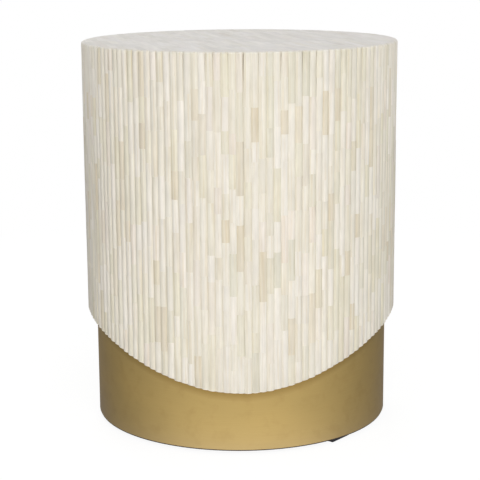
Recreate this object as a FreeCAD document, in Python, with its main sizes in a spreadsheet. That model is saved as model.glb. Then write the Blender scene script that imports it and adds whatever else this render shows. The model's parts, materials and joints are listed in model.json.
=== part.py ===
"""Round side table: a reeded drum with a wavy hem over a recessed brass plinth.

Millimetres, +Z up, origin on the floor under the drum's axis, front towards -Y.
Bearings are degrees from the front, towards +X.
"""
import FreeCAD
import Part
import Sketcher
import math
import os

from FreeCAD import Placement, Rotation, Vector

SIZES = (
    ("overall_height", 510.0),
    ("drum_diameter", 419.0),
    ("hem_low", 84.1),
    ("hem_high", 151.8),
    ("hem_ease", 0.444),
    ("reed_count", 142),
    ("reed_depth", 3.6),
    ("reed_crown", 2.3),
    ("reed_gap", 0.2),
    ("shell_wall", 8.6),
    ("core_wall", 9.0),
    ("skirt_sheet", 1.0),
    ("skirt_tuck", 25.2),
    ("skirt_fit", 0.5),
    ("top_board_thickness", 15.0),
    ("strip_thickness", 3.0),
    ("strip_width", 9.2),
    ("strip_gap", 0.2),
    ("strip_turn", 12.0),
    ("base_board_thickness", 12.0),
    ("board_fit", 0.5),
    ("ring_thickness", 18.0),
    ("ring_width", 45.0),
    ("middle_ring_height", 257.0),
    ("batten_count", 6),
    ("batten_width", 32.0),
    ("batten_depth", 20.0),
    ("notch_fit", 0.2),
    ("pad_count", 3),
    ("pad_thickness", 5.0),
    ("pad_side", 36.0),
    ("pad_rim_gap", 4.2),
    ("pad_bearing", 42.0),
    ("pad_twist", 9.0),
    ("screw_shank", 4.0),
    ("screw_head", 8.0),
    ("screw_head_height", 2.2),
    ("head_sink", 0.3),
    ("hole_fit", 0.1),
    ("screw_cover", 5.0),
    ("core_screw_rise", 67.0),
    ("core_screw_drop", 60.0),
    ("pin_count", 12),
    ("pin_shank", 1.6),
    ("pin_head", 3.2),
    ("pin_head_height", 0.8),
    ("pin_cover", 2.0),
    ("pin_drop", 10.0),
)

# Radii, from the drum's outside inwards.
DRUM_RADIUS = "(Sizes.drum_diameter / 2)"
SHELL_RADIUS = f"({DRUM_RADIUS} - Sizes.reed_depth)"
PLINTH_RADIUS = f"({SHELL_RADIUS} - Sizes.shell_wall)"
REBATE_RADIUS = f"({PLINTH_RADIUS} - Sizes.skirt_sheet)"
CORE_BORE = f"({REBATE_RADIUS} - Sizes.core_wall)"
RING_BORE = f"({CORE_BORE} - Sizes.ring_width)"
RING_MIDDLE = f"({CORE_BORE} - Sizes.ring_width / 2)"
BATTEN_FACE = f"({CORE_BORE} - Sizes.batten_depth)"

# Heights, from the floor upwards.
BASE_BOTTOM = "Sizes.pad_thickness"
SKIRT_TOP = "(Sizes.hem_high + Sizes.skirt_tuck)"
SHOULDER = f"({SKIRT_TOP} + Sizes.skirt_fit)"
BASE_RING_BOTTOM = f"({BASE_BOTTOM} + Sizes.base_board_thickness)"
BASE_RING_TOP = f"({BASE_RING_BOTTOM} + Sizes.ring_thickness)"
MIDDLE_RING_BOTTOM = "(Sizes.middle_ring_height - Sizes.ring_thickness / 2)"
STRIP_BOTTOM = "(Sizes.overall_height - Sizes.strip_thickness)"
BOARD_BOTTOM = f"({STRIP_BOTTOM} - Sizes.top_board_thickness)"
TOP_RING_BOTTOM = f"({BOARD_BOTTOM} - Sizes.ring_thickness)"

HALF_BATTEN_STEP = "180 / Sizes.batten_count"
FULL_TURN = 360
QUARTER_TURN = 90
Z_AXIS = Vector(0, 0, 1)

doc = FreeCAD.newDocument("DrumTable")
sheet = doc.addObject("Spreadsheet::Sheet", "Sizes")
for row, (alias, value) in enumerate(SIZES, start=1):
    sheet.set(f"A{row}", alias)
    sheet.set(f"B{row}", str(value))
    sheet.setAlias(f"B{row}", alias)
doc.recompute()

nodes = {}


def size(alias):
    """Return one driving dimension from the sheet."""
    return float(sheet.get(alias))


def keep(node, part, solids=1):
    """Label a finished sub-part and note how many solids it has."""
    part.Label = node
    nodes[node] = (part, solids)


def origin_feature(body, role):
    """Find one of a body's own origin planes or axes."""
    return [feature for feature in body.Origin.OriginFeatures if feature.Role == role][0]


def new_body(name):
    """Start a body, which may hold a group of separate solids."""
    body = doc.addObject("PartDesign::Body", name)
    body.AllowCompound = True
    return body


def new_sketch(body, name, role, height=None):
    """Start a sketch on an origin plane, raised along the plane's normal if a height is given."""
    sketch = body.newObject("Sketcher::SketchObject", name)
    sketch.AttachmentSupport = [(origin_feature(body, role), "")]
    sketch.MapMode = "FlatFace"
    if height:
        sketch.setExpression("AttachmentOffset.Base.z", height)
    return sketch


def draw_polygon(sketch, corners):
    """Draw a closed outline whose corners are placed from the sketch origin by formulas."""
    count = len(corners)
    steps = [2 * math.pi * index / count for index in range(count)]
    rough = [Vector(math.cos(step), math.sin(step), 0) for step in steps]
    for index in range(count):
        sketch.addGeometry(Part.LineSegment(rough[index], rough[(index + 1) % count]), False)
    for index in range(count):
        sketch.addConstraint(Sketcher.Constraint("Coincident", index, 2, (index + 1) % count, 1))
    for index, corner in enumerate(corners):
        for kind, formula in zip(("DistanceX", "DistanceY"), corner):
            place = sketch.addConstraint(Sketcher.Constraint(kind, -1, 1, index, 1, 1.0))
            sketch.setExpression(f"Constraints[{place}]", formula)


def draw_circle(sketch, radius):
    """Draw a circle round the sketch origin."""
    circle = sketch.addGeometry(Part.Circle(Vector(0, 0, 0), Z_AXIS, 1.0), False)
    sketch.addConstraint(Sketcher.Constraint("Coincident", circle, 3, -1, 1))
    place = sketch.addConstraint(Sketcher.Constraint("Radius", circle, 1.0))
    sketch.setExpression(f"Constraints[{place}]", radius)


def add_disc(body, name, bottom, thickness, radius, bore=None):
    """Pad a disc, or a ring if a bore is given."""
    sketch = new_sketch(body, f"{name}_outline", "XY_Plane", bottom)
    draw_circle(sketch, radius)
    if bore:
        draw_circle(sketch, bore)
    pad = body.newObject("PartDesign::Pad", f"{name}_pad")
    pad.Profile = sketch
    pad.setExpression("Length", thickness)


def repeat_round(body, name, feature, count):
    """Repeat a feature round the drum's axis."""
    pattern = body.newObject("PartDesign::PolarPattern", f"{name}_pattern")
    pattern.Originals = [feature]
    pattern.Axis = (origin_feature(body, "Z_Axis"), [""])
    pattern.Angle = FULL_TURN
    pattern.setExpression("Occurrences", count)
    body.Tip = pattern


def turn_about_line(body, name, kind, corners, bearing=None):
    """Revolve an outline about its closing edge, which is the axis of a screw or its hole."""
    sketch = new_sketch(body, f"{name}_outline", "XZ_Plane")
    draw_polygon(sketch, corners)
    last = len(corners) - 1
    axis = sketch.addGeometry(Part.LineSegment(Vector(-1, 0, 0), Vector(-1, 1, 0)), True)
    sketch.addConstraint(Sketcher.Constraint("Coincident", axis, 1, 0, 1))
    sketch.addConstraint(Sketcher.Constraint("Coincident", axis, 2, last, 1))
    if bearing:
        sketch.AttachmentOffset = Placement(Vector(0, 0, 0), Rotation(Vector(0, 1, 0), 1.0))
        sketch.setExpression("AttachmentOffset.Rotation.Angle", bearing)
    doc.recompute()
    turned = body.newObject(f"PartDesign::{kind}", f"{name}_turned")
    turned.Profile = sketch
    turned.ReferenceAxis = (sketch, ["Axis0"])
    turned.Angle = FULL_TURN
    body.Tip = turned
    return turned


def screw_outline(shank, head, head_height, length):
    """Half outline of a countersunk screw: distance from the head's face, distance from the axis."""
    return (
        ("0", "0"),
        ("0", f"{head} / 2"),
        (head_height, f"{shank} / 2"),
        (length, f"{shank} / 2"),
        (length, "0"),
    )


def hole_outline(shank, head, head_height, length):
    """Half outline of the hole for such a screw, open past the face that the head is sunk in."""
    mouth = "-2 * Sizes.head_sink"
    head_wall = f"({head} / 2 + Sizes.hole_fit)"
    shank_wall = f"({shank} / 2 + Sizes.hole_fit)"
    end = f"({length} + Sizes.hole_fit)"
    return (
        (mouth, "0"),
        (mouth, head_wall),
        ("0", head_wall),
        (head_height, shank_wall),
        (end, shank_wall),
        (end, "0"),
    )


def wood_screw(outline, length):
    """Outline of a wood screw of the given length, or of its hole."""
    return outline("Sizes.screw_shank", "Sizes.screw_head", "Sizes.screw_head_height", length)


def skirt_pin(outline):
    """Outline of a pin that holds the brass sheet, or of its hole."""
    return outline("Sizes.pin_shank", "Sizes.pin_head", "Sizes.pin_head_height", PIN_LENGTH)


def pointing_up(outline, radius, head):
    """Stand a screw outline on its head at a radius from the drum's axis."""
    return [(f"{radius} + {across}", f"{head} + {along}") for along, across in outline]


def pointing_in(outline, head, height):
    """Lay a screw outline towards the drum's axis with its head outside."""
    return [(f"{head} - ({along})", f"{height} + {across}") for along, across in outline]


# Where the screws' and pins' heads sit, and their lengths to a named cover past the point.
TOP_SCREW_HEAD = f"({TOP_RING_BOTTOM} + Sizes.head_sink)"
TOP_SCREW_LENGTH = f"({STRIP_BOTTOM} - Sizes.screw_cover - {TOP_SCREW_HEAD})"
BASE_SCREW_HEAD = f"({BASE_BOTTOM} + Sizes.head_sink)"
BASE_SCREW_LENGTH = f"({BASE_RING_TOP} - Sizes.screw_cover - {BASE_SCREW_HEAD})"
LOW_SCREW_HEAD = f"({REBATE_RADIUS} - Sizes.head_sink)"
LOW_SCREW_HEIGHT = f"({BASE_BOTTOM} + Sizes.core_screw_rise)"
HIGH_SCREW_HEAD = f"({PLINTH_RADIUS} - Sizes.head_sink)"
HIGH_SCREW_HEIGHT = f"({BOARD_BOTTOM} - Sizes.core_screw_drop)"
CORE_SCREW_LENGTH = f"({LOW_SCREW_HEAD} - {BATTEN_FACE} - Sizes.screw_cover)"
PIN_HEAD = f"({PLINTH_RADIUS} - Sizes.head_sink)"
PIN_HEIGHT = f"({SKIRT_TOP} - Sizes.pin_drop)"
PIN_LENGTH = f"({PIN_HEAD} - {CORE_BORE} - Sizes.pin_cover)"


def top_screw(outline):
    """A screw up through the top ring into the top board."""
    return pointing_up(wood_screw(outline, TOP_SCREW_LENGTH), RING_MIDDLE, TOP_SCREW_HEAD)


def base_screw(outline):
    """A screw up through the base board into the base ring."""
    return pointing_up(wood_screw(outline, BASE_SCREW_LENGTH), RING_MIDDLE, BASE_SCREW_HEAD)


def low_core_screw(outline):
    """A screw through the rebated part of the core drum into a batten."""
    return pointing_in(wood_screw(outline, CORE_SCREW_LENGTH), LOW_SCREW_HEAD, LOW_SCREW_HEIGHT)


def high_core_screw(outline):
    """A screw through the full wall of the core drum into a batten."""
    return pointing_in(wood_screw(outline, CORE_SCREW_LENGTH), HIGH_SCREW_HEAD, HIGH_SCREW_HEIGHT)


def sheet_pin(outline):
    """A pin through the brass sheet into the core drum."""
    return pointing_in(skirt_pin(outline), PIN_HEAD, PIN_HEIGHT)


def add_round(body, name, kind, corners, count, bearing=None):
    """Turn an outline and repeat it round the drum's axis."""
    turned = turn_about_line(body, name, kind, corners, bearing)
    repeat_round(body, name, turned, count)


def cut_screw_holes(body, screw):
    """Cut a ring of upright screw holes midway between the battens."""
    name = f"{body.Name}_screw_hole"
    add_round(body, name, "Groove", screw(hole_outline), "Sizes.batten_count", HALF_BATTEN_STEP)


def make_top_board():
    """Disc under the bone strips, on the rims of the core drum and the outer shell."""
    body = new_body("top_board")
    add_disc(body, "top_board", BOARD_BOTTOM, "Sizes.top_board_thickness", SHELL_RADIUS)
    cut_screw_holes(body, top_screw)
    keep("top_board", body)


def make_base_board():
    """Disc that closes the bottom of the core drum and carries the pads."""
    body = new_body("base_board")
    add_disc(body, "base_board", BASE_BOTTOM, "Sizes.base_board_thickness", f"{CORE_BORE} - Sizes.board_fit")
    cut_screw_holes(body, base_screw)
    keep("base_board", body)


def make_ring(node, bottom, screw=None):
    """Former ring inside the core drum, notched for the battens."""
    body = new_body(node)
    add_disc(body, node, bottom, "Sizes.ring_thickness", CORE_BORE, RING_BORE)
    notch = new_sketch(body, f"{node}_notch_outline", "XY_Plane", f"{bottom} + Sizes.ring_thickness")
    floor = f"{BATTEN_FACE} - Sizes.notch_fit"
    past_rim = f"{CORE_BORE} + Sizes.core_wall"
    side = "(Sizes.batten_width / 2 + Sizes.notch_fit)"
    draw_polygon(notch, [(floor, f"-{side}"), (past_rim, f"-{side}"), (past_rim, side), (floor, side)])
    pocket = body.newObject("PartDesign::Pocket", f"{node}_notch")
    pocket.Profile = notch
    pocket.Type = "ThroughAll"
    repeat_round(body, f"{node}_notch", pocket, "Sizes.batten_count")
    if screw:
        cut_screw_holes(body, screw)
    keep(node, body)


def make_batten(index):
    """Upright batten in the rings' notches, rounded at the back to the core drum's bore."""
    node = f"batten_{index + 1}"
    body = new_body(node)
    outline = new_sketch(body, f"{node}_outline", "XY_Plane", BASE_RING_BOTTOM)
    side = "Sizes.batten_width / 2"
    past_bore = f"{CORE_BORE} + Sizes.core_wall"
    draw_polygon(outline, [
        (BATTEN_FACE, f"-{side}"),
        (past_bore, f"-{side}"),
        (past_bore, side),
        (BATTEN_FACE, side),
    ])
    pad = body.newObject("PartDesign::Pad", f"{node}_pad")
    pad.Profile = outline
    pad.setExpression("Length", f"{BOARD_BOTTOM} - {BASE_RING_BOTTOM}")
    back = new_sketch(body, f"{node}_back_outline", "XY_Plane", BOARD_BOTTOM)
    draw_circle(back, CORE_BORE)
    draw_circle(back, f"{CORE_BORE} + 2 * Sizes.core_wall + Sizes.batten_width")
    trim = body.newObject("PartDesign::Pocket", f"{node}_back")
    trim.Profile = back
    trim.Type = "ThroughAll"
    turn_about_line(body, f"{node}_low_hole", "Groove", low_core_screw(hole_outline))
    turn_about_line(body, f"{node}_high_hole", "Groove", high_core_screw(hole_outline))
    body.Placement = Placement(Vector(0, 0, 0), Rotation(Z_AXIS, 1.0))
    body.setExpression("Placement.Rotation.Angle", f"{index} * {FULL_TURN} / Sizes.batten_count")
    keep(node, body)


def make_core_drum():
    """Inner tube from the base to the top board, rebated low down for the brass sheet."""
    body = new_body("core_drum")
    wall = new_sketch(body, "core_drum_wall", "XZ_Plane")
    draw_polygon(wall, [
        (CORE_BORE, BASE_BOTTOM),
        (REBATE_RADIUS, BASE_BOTTOM),
        (REBATE_RADIUS, SHOULDER),
        (PLINTH_RADIUS, SHOULDER),
        (PLINTH_RADIUS, BOARD_BOTTOM),
        (CORE_BORE, BOARD_BOTTOM),
    ])
    tube = body.newObject("PartDesign::Revolution", "core_drum_tube")
    tube.Profile = wall
    tube.ReferenceAxis = (wall, ["V_Axis"])
    tube.Angle = FULL_TURN
    add_round(body, "core_drum_low_hole", "Groove", low_core_screw(hole_outline), "Sizes.batten_count")
    add_round(body, "core_drum_high_hole", "Groove", high_core_screw(hole_outline), "Sizes.batten_count")
    add_round(body, "core_drum_pin_hole", "Groove", sheet_pin(hole_outline), "Sizes.pin_count")
    keep("core_drum", body)


def make_brass_skirt():
    """Rolled brass sheet round the foot of the core drum."""
    body = new_body("brass_skirt")
    add_disc(body, "brass_skirt", BASE_BOTTOM, f"{SKIRT_TOP} - {BASE_BOTTOM}", PLINTH_RADIUS, REBATE_RADIUS)
    add_round(body, "brass_skirt_pin_hole", "Groove", sheet_pin(hole_outline), "Sizes.pin_count")
    keep("brass_skirt", body)


def make_screws():
    """The screws and pins, each kind as one group of separate solids."""
    batten_count = int(size("batten_count"))
    for node, screw in (("top_screws", top_screw), ("base_screws", base_screw)):
        body = new_body(node)
        add_round(body, node, "Revolution", screw(screw_outline), "Sizes.batten_count", HALF_BATTEN_STEP)
        keep(node, body, batten_count)
    body = new_body("core_screws")
    add_round(body, "core_screws_low", "Revolution", low_core_screw(screw_outline), "Sizes.batten_count")
    add_round(body, "core_screws_high", "Revolution", high_core_screw(screw_outline), "Sizes.batten_count")
    keep("core_screws", body, 2 * batten_count)
    body = new_body("skirt_pins")
    add_round(body, "skirt_pins", "Revolution", sheet_pin(screw_outline), "Sizes.pin_count")
    keep("skirt_pins", body, int(size("pin_count")))


def make_pad(index):
    """Square pad under the base, a little askew, with one corner near the plinth's rim."""
    node = f"foot_pad_{index + 1}"
    body = new_body(node)
    outline = new_sketch(body, f"{node}_outline", "XY_Plane")
    reach = "Sizes.pad_side / 2"
    along = f"{reach} * cos(Sizes.pad_twist)"
    across = f"{reach} * sin(Sizes.pad_twist)"
    middle = f"({PLINTH_RADIUS} - Sizes.pad_rim_gap - {along} - {across})"
    draw_polygon(outline, [
        (f"{middle} - {along} + {across}", f"-{along} - {across}"),
        (f"{middle} + {along} + {across}", f"{across} - {along}"),
        (f"{middle} + {along} - {across}", f"{along} + {across}"),
        (f"{middle} - {along} - {across}", f"{along} - {across}"),
    ])
    pad = body.newObject("PartDesign::Pad", f"{node}_pad")
    pad.Profile = outline
    pad.setExpression("Length", "Sizes.pad_thickness")
    body.Placement = Placement(Vector(0, 0, 0), Rotation(Z_AXIS, 1.0))
    step = f"{index} * {FULL_TURN} / Sizes.pad_count"
    body.setExpression("Placement.Rotation.Angle", f"Sizes.pad_bearing - {QUARTER_TURN} + {step}")
    keep(node, body)


def hem_curve():
    """The hem seen from the front: lowest in the middle, level there, and rising to both sides."""
    reach = size("drum_diameter") / 2
    low = size("hem_low")
    high = size("hem_high")
    eased = low + (high - low) * size("hem_ease")
    halves = []
    for side in (-1, 1):
        curve = Part.BezierCurve()
        curve.setPoles([
            Vector(0, 0, low),
            Vector(side * reach / 3, 0, low),
            Vector(side * reach * 2 / 3, 0, eased),
            Vector(side * reach, 0, high),
        ])
        halves.append(curve.toShape())
    return halves


def make_hem_cutter():
    """Block under the hem that trims the shell and the reeds, cut straight from front to back."""
    reach = size("drum_diameter") / 2
    past = reach + size("shell_wall")
    high = size("hem_high")
    left, right = hem_curve()
    corners = [
        Vector(reach, 0, high),
        Vector(past, 0, high),
        Vector(past, 0, 0),
        Vector(-past, 0, 0),
        Vector(-past, 0, high),
        Vector(-reach, 0, high),
    ]
    sides = [Part.makeLine(start, end) for start, end in zip(corners, corners[1:])]
    outline = Part.Wire(Part.__sortEdges__([left, right] + sides))
    outline.translate(Vector(0, -past, 0))
    cutter = doc.addObject("Part::Feature", "hem_cutter")
    cutter.Shape = Part.Face(outline).extrude(Vector(0, 2 * past, 0))
    return cutter


def make_outer_shell(cutter):
    """Bent tube that carries the reeds, with its lower edge cut to the hem."""
    tubes = []
    for name, radius in (("shell_outside", SHELL_RADIUS), ("shell_inside", PLINTH_RADIUS)):
        tube = doc.addObject("Part::Cylinder", name)
        tube.setExpression("Radius", radius)
        tube.setExpression("Height", BOARD_BOTTOM)
        tubes.append(tube)
    wall = doc.addObject("Part::Cut", "shell_wall")
    wall.Base, wall.Tool = tubes
    shell = doc.addObject("Part::Cut", "outer_shell")
    shell.Base = wall
    shell.Tool = cutter
    keep("outer_shell", shell)


def make_reeds(cutter):
    """Strips with a rounded face side by side round the shell, each trimmed to the hem."""
    count = int(size("reed_count"))
    top = size("overall_height")
    low = size("hem_low")
    crest = size("drum_diameter") / 2
    seat = crest - size("reed_depth")
    shoulder = crest - size("reed_crown")
    splay = math.tan(math.pi / count)
    half_gap = size("reed_gap") / 2
    half_back = seat * splay - half_gap
    half_face = shoulder * splay - half_gap
    left = Vector(-half_face, -shoulder, low)
    right = Vector(half_face, -shoulder, low)
    back = Part.makePolygon([right, Vector(half_back, -seat, low), Vector(-half_back, -seat, low), left])
    face = Part.Arc(left, Vector(0, -crest, low), right).toShape()
    reed = Part.Face(Part.Wire(back.Edges + [face])).extrude(Vector(0, 0, top - low))
    sides = ("front", "right", "back", "left")
    groups = {side: [] for side in sides}
    for index in range(count):
        bearing = FULL_TURN * index / count
        turned = reed.copy()
        turned.rotate(Vector(0, 0, 0), Z_AXIS, bearing)
        trimmed = turned.cut(cutter.Shape)
        quarter = int((bearing + QUARTER_TURN / 2) // QUARTER_TURN) % len(sides)
        groups[sides[quarter]].extend(trimmed.Solids)
    for side, solids in groups.items():
        group = doc.addObject("Part::Feature", f"reeds_{side}")
        group.Shape = Part.makeCompound(solids)
        keep(f"reeds_{side}", group, len(solids))


def make_top_strips():
    """Flat strips side by side over the top board, trimmed to the reeds' backs."""
    radius = size("drum_diameter") / 2 - size("reed_depth")
    width = size("strip_width")
    thickness = size("strip_thickness")
    pitch = width + size("strip_gap")
    bottom = size("overall_height") - thickness
    disc = Part.makeCylinder(radius, thickness, Vector(0, 0, bottom))
    rows = math.floor((radius + width / 2) / pitch)
    solids = []
    for row in range(-rows, rows + 1):
        corner = Vector(row * pitch - width / 2, -radius, bottom)
        strip = Part.makeBox(width, 2 * radius, thickness, corner)
        solids.extend(strip.common(disc).Solids)
    group = doc.addObject("Part::Feature", "top_strips")
    group.Shape = Part.makeCompound(solids)
    group.Placement = Placement(Vector(0, 0, 0), Rotation(Z_AXIS, size("strip_turn")))
    keep("top_strips", group, len(solids))


def write_parts():
    """Check every object and write each sub-part to its own file."""
    doc.recompute()
    for item in doc.Objects:
        if "Invalid" in item.State or "Error" in item.State:
            raise RuntimeError(f"{item.Name} did not build: {item.State}")
    for node, (part, solids) in nodes.items():
        if part.Shape.isNull() or not part.Shape.isValid():
            raise RuntimeError(f"{node} has no valid shape")
        if len(part.Shape.Solids) != solids:
            raise RuntimeError(f"{node} has {len(part.Shape.Solids)} solids, not {solids}")
    os.makedirs("parts", exist_ok=True)
    for node, (part, solids) in nodes.items():
        part.Shape.exportStep(f"parts/{node}.step")
        print(f"{node}: {solids} solids, {part.Shape.Volume / 1000:.1f} cm3")


make_top_board()
make_base_board()
make_ring("base_ring", BASE_RING_BOTTOM, base_screw)
make_ring("middle_ring", MIDDLE_RING_BOTTOM)
make_ring("top_ring", TOP_RING_BOTTOM, top_screw)
for batten in range(int(size("batten_count"))):
    make_batten(batten)
make_core_drum()
make_brass_skirt()
make_screws()
for pad in range(int(size("pad_count"))):
    make_pad(pad)
hem_cutter = make_hem_cutter()
make_outer_shell(hem_cutter)
make_reeds(hem_cutter)
make_top_strips()
write_parts()
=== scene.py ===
"""Looks of a round side table: bone reeds, a strip-laid top, a brass plinth and a studio stage."""
import json
import math
import random

import bmesh
import bpy
from bpy.props import FloatProperty, FloatVectorProperty, IntProperty, PointerProperty
from mathutils import Matrix, Vector


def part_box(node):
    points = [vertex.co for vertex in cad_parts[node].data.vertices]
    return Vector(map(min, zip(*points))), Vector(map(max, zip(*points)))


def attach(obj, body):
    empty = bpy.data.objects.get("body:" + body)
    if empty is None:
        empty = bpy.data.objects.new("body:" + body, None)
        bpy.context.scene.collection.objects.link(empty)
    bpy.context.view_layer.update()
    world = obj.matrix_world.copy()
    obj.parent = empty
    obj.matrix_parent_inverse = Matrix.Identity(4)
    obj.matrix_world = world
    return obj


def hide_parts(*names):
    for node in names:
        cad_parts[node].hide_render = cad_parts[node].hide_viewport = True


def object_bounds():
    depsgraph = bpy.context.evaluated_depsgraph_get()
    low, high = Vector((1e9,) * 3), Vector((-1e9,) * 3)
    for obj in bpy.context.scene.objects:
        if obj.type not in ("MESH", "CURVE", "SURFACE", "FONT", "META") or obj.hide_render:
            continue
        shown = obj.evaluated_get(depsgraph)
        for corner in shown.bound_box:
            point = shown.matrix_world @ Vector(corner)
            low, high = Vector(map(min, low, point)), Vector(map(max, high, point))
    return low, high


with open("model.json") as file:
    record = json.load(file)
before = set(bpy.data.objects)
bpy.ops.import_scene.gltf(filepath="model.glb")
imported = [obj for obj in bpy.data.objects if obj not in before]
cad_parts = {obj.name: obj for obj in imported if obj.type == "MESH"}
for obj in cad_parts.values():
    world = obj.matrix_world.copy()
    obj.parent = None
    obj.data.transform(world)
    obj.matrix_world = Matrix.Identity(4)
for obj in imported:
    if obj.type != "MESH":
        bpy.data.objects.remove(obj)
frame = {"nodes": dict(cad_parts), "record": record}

bl_info = {
    "name": "Reeded Drum Side Table",
    "version": (1, 0, 0),
    "blender": (4, 5, 0),
    "location": "View3D > Sidebar > Side Table",
    "description": "Dresses the side table's frame in bone, brass and rubber, and sets its studio stage",
    "category": "Object",
}

CAD_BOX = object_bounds()
BODY = "root"

# Places that the frame gives, in metres. The front of the table is towards -Y.
DRUM_RADIUS = CAD_BOX[1].y
TABLE_TOP = CAD_BOX[1].z
SEAT_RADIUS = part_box("top_board")[1].y
STRIP_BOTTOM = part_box("top_strips")[0].z
HEM_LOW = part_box("outer_shell")[0].z
SKIRT_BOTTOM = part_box("brass_skirt")[0].z
SKIRT_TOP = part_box("brass_skirt")[1].z
PLINTH_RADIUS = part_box("brass_skirt")[1].y
PAD_NODES = ("foot_pad_1", "foot_pad_2", "foot_pad_3")
REED_SIDES = ("front", "right", "back", "left")

# Turns and directions, and the distance within which corners count as being at the same place.
ORIGIN = (0.0, 0.0, 0.0)
UPWARDS = (0.0, 0.0, 1.0)
QUARTER_TURN = math.pi / 2
FULL_TURN = 2 * math.pi
SHARP_ANGLE = math.radians(40.0)
TOUCH = 1e-5

# Fineness of the meshes.
ROUND_STEPS = 2
DOME_STEPS = 4
TOP_STEPS_PER_REED = 4
PLINTH_STEPS_PER_REED = 2
RING_STEPS = 72

# Ranges that many materials use. Nearly all values of a noise lie in its middle.
UNIT = (0.0, 1.0)
NOISE_MIDDLE = (0.3, 0.7)
WHITE = (1.0, 1.0, 1.0)


class BoneColours(bpy.types.PropertyGroup):
    """Colours of the bone pieces."""
    pale: FloatVectorProperty(name="Pale", description="Whitest bone", subtype="COLOR", size=3,
                              default=(0.872, 0.826, 0.740))
    cream: FloatVectorProperty(name="Cream", description="Commonest bone", subtype="COLOR", size=3,
                               default=(0.841, 0.793, 0.683))
    straw: FloatVectorProperty(name="Straw", description="Yellowish bone", subtype="COLOR", size=3,
                               default=(0.812, 0.765, 0.622))
    blush: FloatVectorProperty(name="Blush", description="Pinkish bone", subtype="COLOR", size=3,
                               default=(0.848, 0.779, 0.690))
    grey: FloatVectorProperty(name="Grey", description="Greyish bone", subtype="COLOR", size=3,
                              default=(0.762, 0.727, 0.606))
    tan: FloatVectorProperty(name="Tan", description="Darkest bone", subtype="COLOR", size=3,
                             default=(0.768, 0.694, 0.552))
    # Painted highlight: the pale colour given to the hem's downward-facing faces, standing in for light
    # bounced up from the floor.
    lip_highlight: FloatVectorProperty(name="Cut end", description="Freshly cut bone along the hem",
                                 subtype="COLOR", size=3, default=(0.95, 0.89, 0.76))
    # Painted highlight: the paler colour that the rim's faces are drawn to, the more so the more they face
    # up.
    rim_highlight: FloatVectorProperty(name="Rubbed", description="Bone rubbed pale round the rim",
                                subtype="COLOR", size=3, default=(0.97, 0.93, 0.87))
    # Paste colour, which the reeds are also drawn to near their groove bottoms as painted shade in the
    # grooves.
    paste_and_groove_shade: FloatVectorProperty(name="Filler", description="Paste in the grooves", subtype="COLOR", size=3,
                                default=(0.56, 0.49, 0.39))


class ReedSettings(bpy.types.PropertyGroup):
    """Sizes of the half-round bone strips round the drum."""
    count: IntProperty(name="Reeds", description="Reeds round the drum", default=142, min=24)
    lap: FloatProperty(name="Lap", description="How far neighbouring reeds run into each other",
                       default=0.0007, unit="LENGTH")
    crown: FloatProperty(name="Crown", description="Height of a reed's rounded face",
                         default=0.0024, unit="LENGTH")
    hem_high: FloatProperty(name="Hem height", description="Height of the hem at the two sides",
                            default=0.1518, unit="LENGTH")
    hem_ease: FloatProperty(name="Hem ease",
                            description="Share of the hem's rise at its outer control point",
                            default=0.444, subtype="FACTOR", min=0.0, max=1.0)
    hem_step: FloatProperty(name="Hem step", description="How squarely each reed is cut off at the hem",
                            default=0.5, subtype="FACTOR", min=0.0, max=1.0)
    shortest: FloatProperty(name="Shortest piece", description="Least length of a bone piece",
                            default=0.024, unit="LENGTH")
    longest: FloatProperty(name="Longest piece", description="Greatest length of a bone piece",
                           default=0.068, unit="LENGTH")
    joint: FloatProperty(name="Joint", description="Gap between pieces of one reed",
                         default=0.00002, unit="LENGTH")
    end_round: FloatProperty(name="End rounding", description="Rounded edge at a piece's ends",
                             default=0.00015, unit="LENGTH")
    hem_round: FloatProperty(name="Hem rounding", description="Rounded edge along the hem",
                             default=0.0011, unit="LENGTH")
    rim_round: FloatProperty(name="Rim rounding", description="Rounded edge round the table top",
                             default=0.0025, unit="LENGTH")
    wander: FloatProperty(name="Wander", description="How far pieces sit below the drum's outside",
                          default=0.0004, unit="LENGTH")
    sway: FloatProperty(name="Sway", description="How far pieces sit to one side",
                        default=0.0004, unit="LENGTH")
    rim_drop: FloatProperty(name="Rim drop", description="How far reeds end below the table top",
                            default=0.00012, unit="LENGTH")
    tip: FloatProperty(name="Tip", description="How far pieces are tipped to one side",
                       default=math.radians(4.0), subtype="ANGLE", unit="ROTATION")
    facets: IntProperty(name="Facets", description="Facets across a reed", default=8, min=4)
    seed: IntProperty(name="Seed", description="Start of the random draws", default=17)


class TopSettings(bpy.types.PropertyGroup):
    """Sizes of the flat bone strips of the table top, and how far they are bleached."""
    pitch: FloatProperty(name="Row width", description="Distance from row to row",
                         default=0.0094, unit="LENGTH")
    turn: FloatProperty(name="Turn", description="Turn of the rows from front-to-back",
                        default=math.radians(12.0), subtype="ANGLE", unit="ROTATION")
    shortest: FloatProperty(name="Shortest piece", description="Least length of a piece",
                            default=0.030, unit="LENGTH")
    longest: FloatProperty(name="Longest piece", description="Greatest length of a piece",
                           default=0.075, unit="LENGTH")
    joint: FloatProperty(name="Joint", description="Width of the hairline joint between pieces",
                         default=0.00012, unit="LENGTH")
    bleach: FloatProperty(name="Bleach",
                          description="How far the top's bone is drawn to its bleached colour",
                          default=0.45, subtype="FACTOR", min=0.0, max=1.0)
    bleached: FloatVectorProperty(name="Bleached", description="Colour that the top's bone is drawn to",
                                  subtype="COLOR", size=3, default=(0.803, 0.772, 0.778))
    unevenness: FloatProperty(name="Unevenness", description="How much lighter or darker a piece can be",
                              default=0.06, subtype="FACTOR", min=0.0, max=1.0)
    seed: IntProperty(name="Seed", description="Start of the random draws", default=5)


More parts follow.
